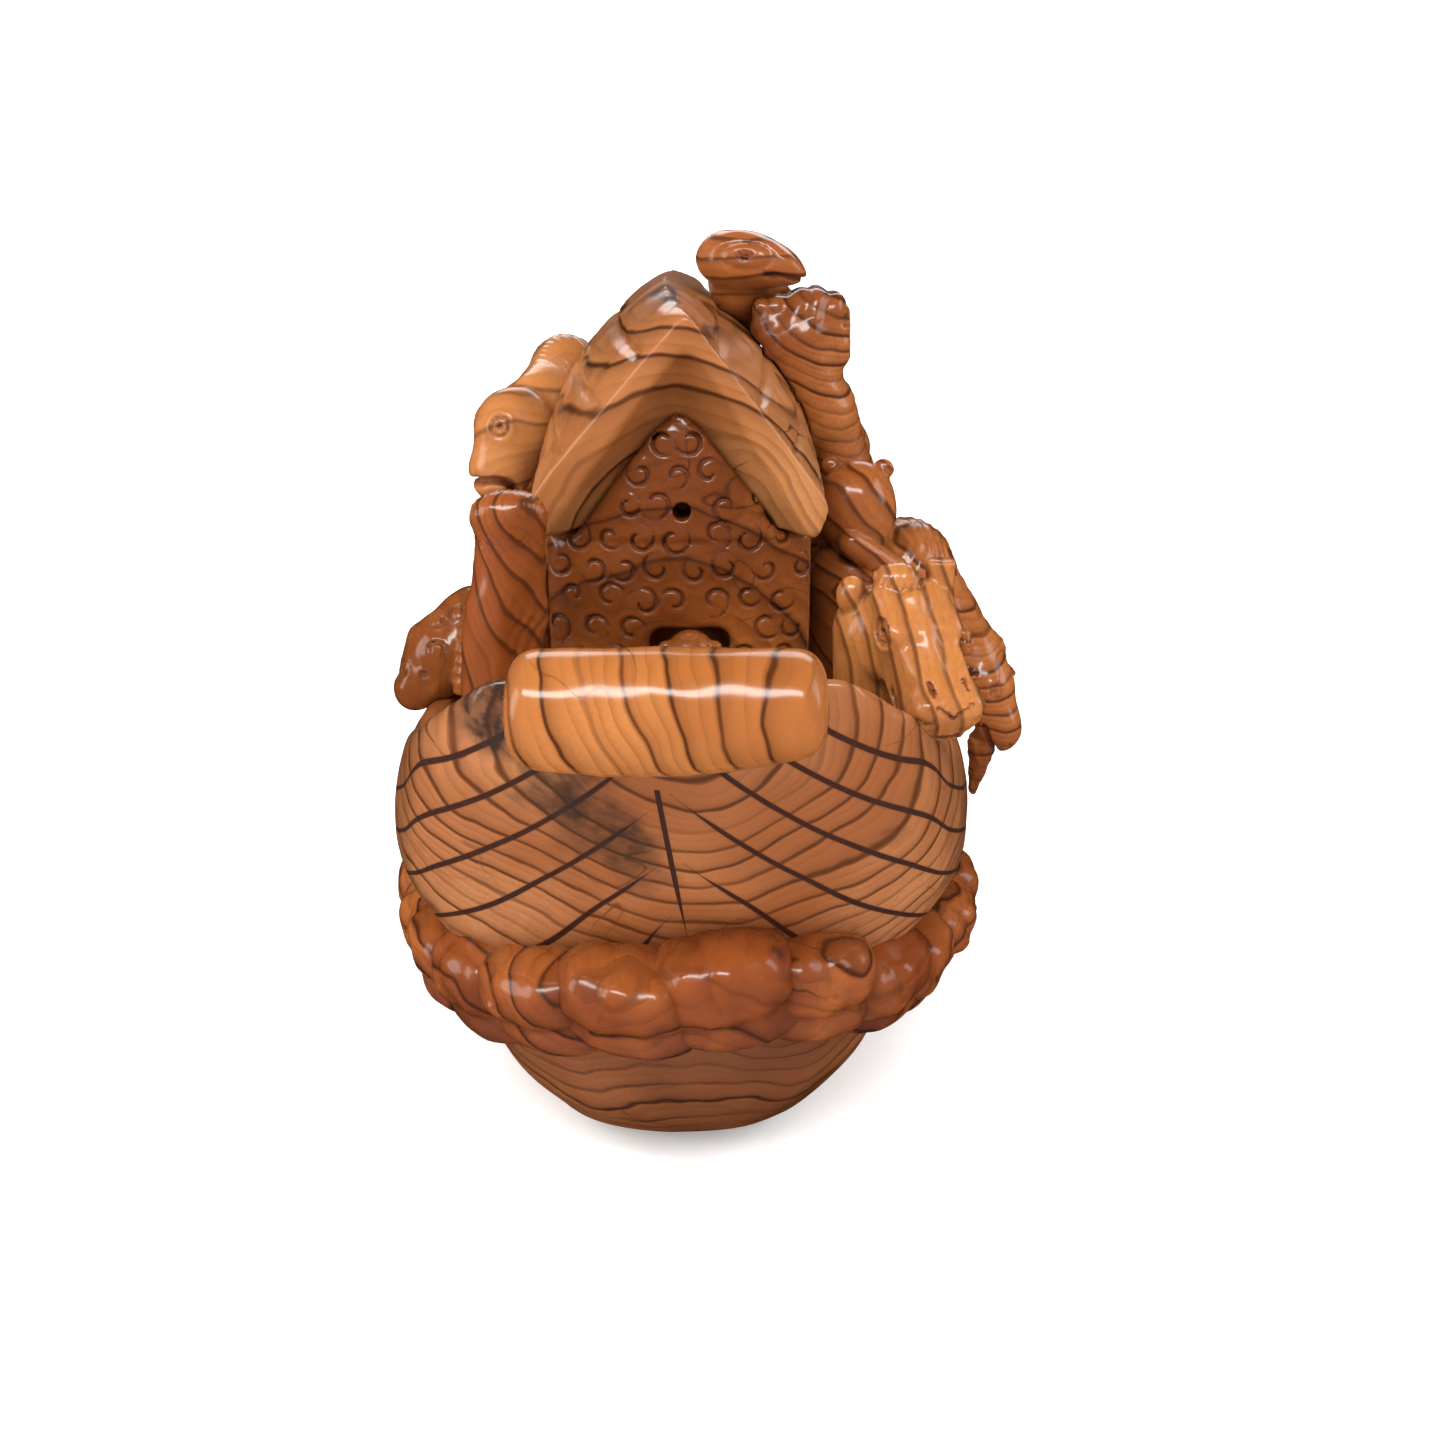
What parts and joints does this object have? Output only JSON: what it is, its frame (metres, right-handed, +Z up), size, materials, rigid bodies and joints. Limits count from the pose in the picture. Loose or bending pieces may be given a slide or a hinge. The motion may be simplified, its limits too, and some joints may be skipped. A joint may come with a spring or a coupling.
{
  "type": "carved ark incense holder",
  "caption": "Carved wooden ark with animals on deck, a gabled cabin, a ring of waves and a drilled hole for an incense stick.",
  "frame": {"origin": "centre of the flat underside of the base, on the table, under the middle of the hull", "axes": "+Z up; the hull's length lies along Y with the bow that faces the viewer towards -Y; +X to the viewer's right"},
  "size_m": [0.1018, 0.174, 0.1252],
  "materials": {
    "base": "clear gloss lacquer",
    "hull": "clear gloss lacquer",
    "deck": "clear gloss lacquer",
    "waves": "clear gloss lacquer",
    "rolls": "clear gloss lacquer",
    "cabin": "clear gloss lacquer",
    "roof": "clear gloss lacquer",
    "sheep": "clear gloss lacquer",
    "ox": "clear gloss lacquer",
    "horse": "clear gloss lacquer",
    "camel": "clear gloss lacquer",
    "giraffe": "clear gloss lacquer",
    "elephant": "clear gloss lacquer",
    "bear": "clear gloss lacquer",
    "ram": "clear gloss lacquer",
    "lion": "clear gloss lacquer"
  },
  "bodies": {
    "root": {"base": "base", "hull": "hull", "deck": "deck", "bow_waves": "waves", "stern_waves": "waves", "port_waves": "waves", "starboard_waves": "waves", "bow_roll": "rolls", "stern_roll": "rolls", "cabin": "cabin", "roof": "roof", "sheep": "sheep", "ewe": "sheep", "lamb": "sheep", "ox": "ox", "cow": "ox", "horse": "horse", "mare": "horse", "camel": "camel", "giraffe": "giraffe", "elephant": "elephant", "bear": "bear", "port_ram": "ram", "starboard_ram": "ram", "lion": "lion"}
  },
  "joints": []
}
